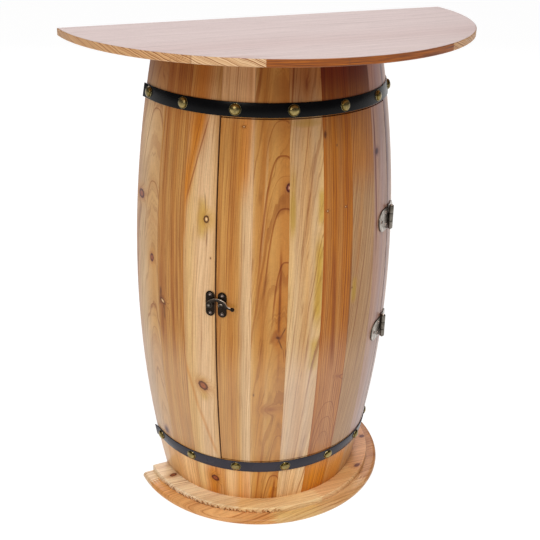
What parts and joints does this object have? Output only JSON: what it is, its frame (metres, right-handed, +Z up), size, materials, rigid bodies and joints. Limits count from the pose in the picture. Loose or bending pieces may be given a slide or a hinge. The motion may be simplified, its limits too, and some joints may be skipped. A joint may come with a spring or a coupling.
{
  "type": "barrel bar cabinet",
  "caption": "Half-barrel wall cabinet with a half-round table top, staved door on surface hinges, hook latch, riveted hoops and a half-round plinth.",
  "frame": {"origin": "on the floor, under the middle of the bounding box of the table top", "axes": "+Z up, front (door) towards -Y, flat back towards +Y, +X to the right seen from the front"},
  "size_m": [0.59, 0.2949, 0.73],
  "materials": {
    "fir_top": "clear satin lacquer",
    "fir_plinth": "clear satin lacquer",
    "fir_stave": "clear satin lacquer",
    "fir_board": "planed, unfinished",
    "panel_board": "plywood, unfinished",
    "hoop_iron": "blackened strap",
    "nail_brass": "antique brass",
    "latch_bronze": "antique bronze plating",
    "hinge_metal": "aged nickel plating",
    "screw_steel": "bright screw heads"
  },
  "bodies": {
    "cabinet": {"back_panel": "panel_board", "base_board": "fir_board", "bottom_hoop": "hoop_iron", "bottom_hoop_nails": "nail_brass", "ceiling_board": "fir_board", "floor_board": "fir_board", "hinge_side_screws": "screw_steel", "hook_rivet": "latch_bronze", "latch_plate": "latch_bronze", "latch_plate_screws": "screw_steel", "left_shelf_cleat": "fir_board", "left_stave_1": "fir_stave", "left_stave_2": "fir_stave", "left_stave_3": "fir_stave", "lower_hinge_pin": "hinge_metal", "lower_hinge_side_leaf": "hinge_metal", "lower_plinth": "fir_plinth", "lower_stave_1": "fir_stave", "lower_stave_2": "fir_stave", "lower_stave_3": "fir_stave", "lower_stave_4": "fir_stave", "lower_stave_5": "fir_stave", "lower_stave_6": "fir_stave", "middle_shelf": "fir_board", "right_shelf_cleat": "fir_board", "right_stave_1": "fir_stave", "right_stave_2": "fir_stave", "right_stave_3": "fir_stave", "table_top": "fir_top", "top_board": "fir_board", "top_hoop": "hoop_iron", "top_hoop_nails": "nail_brass", "upper_hinge_pin": "hinge_metal", "upper_hinge_side_leaf": "hinge_metal", "upper_plinth": "fir_plinth", "upper_stave_1": "fir_stave", "upper_stave_2": "fir_stave", "upper_stave_3": "fir_stave", "upper_stave_4": "fir_stave", "upper_stave_5": "fir_stave", "upper_stave_6": "fir_stave"},
    "door": {"door_stave_1": "fir_stave", "door_stave_2": "fir_stave", "door_stave_3": "fir_stave", "door_stave_4": "fir_stave", "door_stave_5": "fir_stave", "door_stave_6": "fir_stave", "hinge_door_screws": "screw_steel", "keeper_plate": "latch_bronze", "keeper_screws": "screw_steel", "lower_door_batten": "fir_board", "lower_hinge_door_leaf": "hinge_metal", "upper_door_batten": "fir_board", "upper_hinge_door_leaf": "hinge_metal"},
    "hook": {"latch_hook": "latch_bronze"}
  },
  "joints": [
    {"name": "door_hinge", "type": "hinge", "parent": "cabinet", "child": "door", "pos_m": [0.14108, 0.00126, 0.37], "axis": [0, 0, 1], "range_deg": [0, 165]},
    {"name": "hook_pivot", "type": "hinge", "parent": "cabinet", "child": "hook", "pos_m": [-0.14134, 0.00576, 0.37], "axis": [-0.6765, -0.7364, 0], "range_deg": [0, 115]}
  ]
}
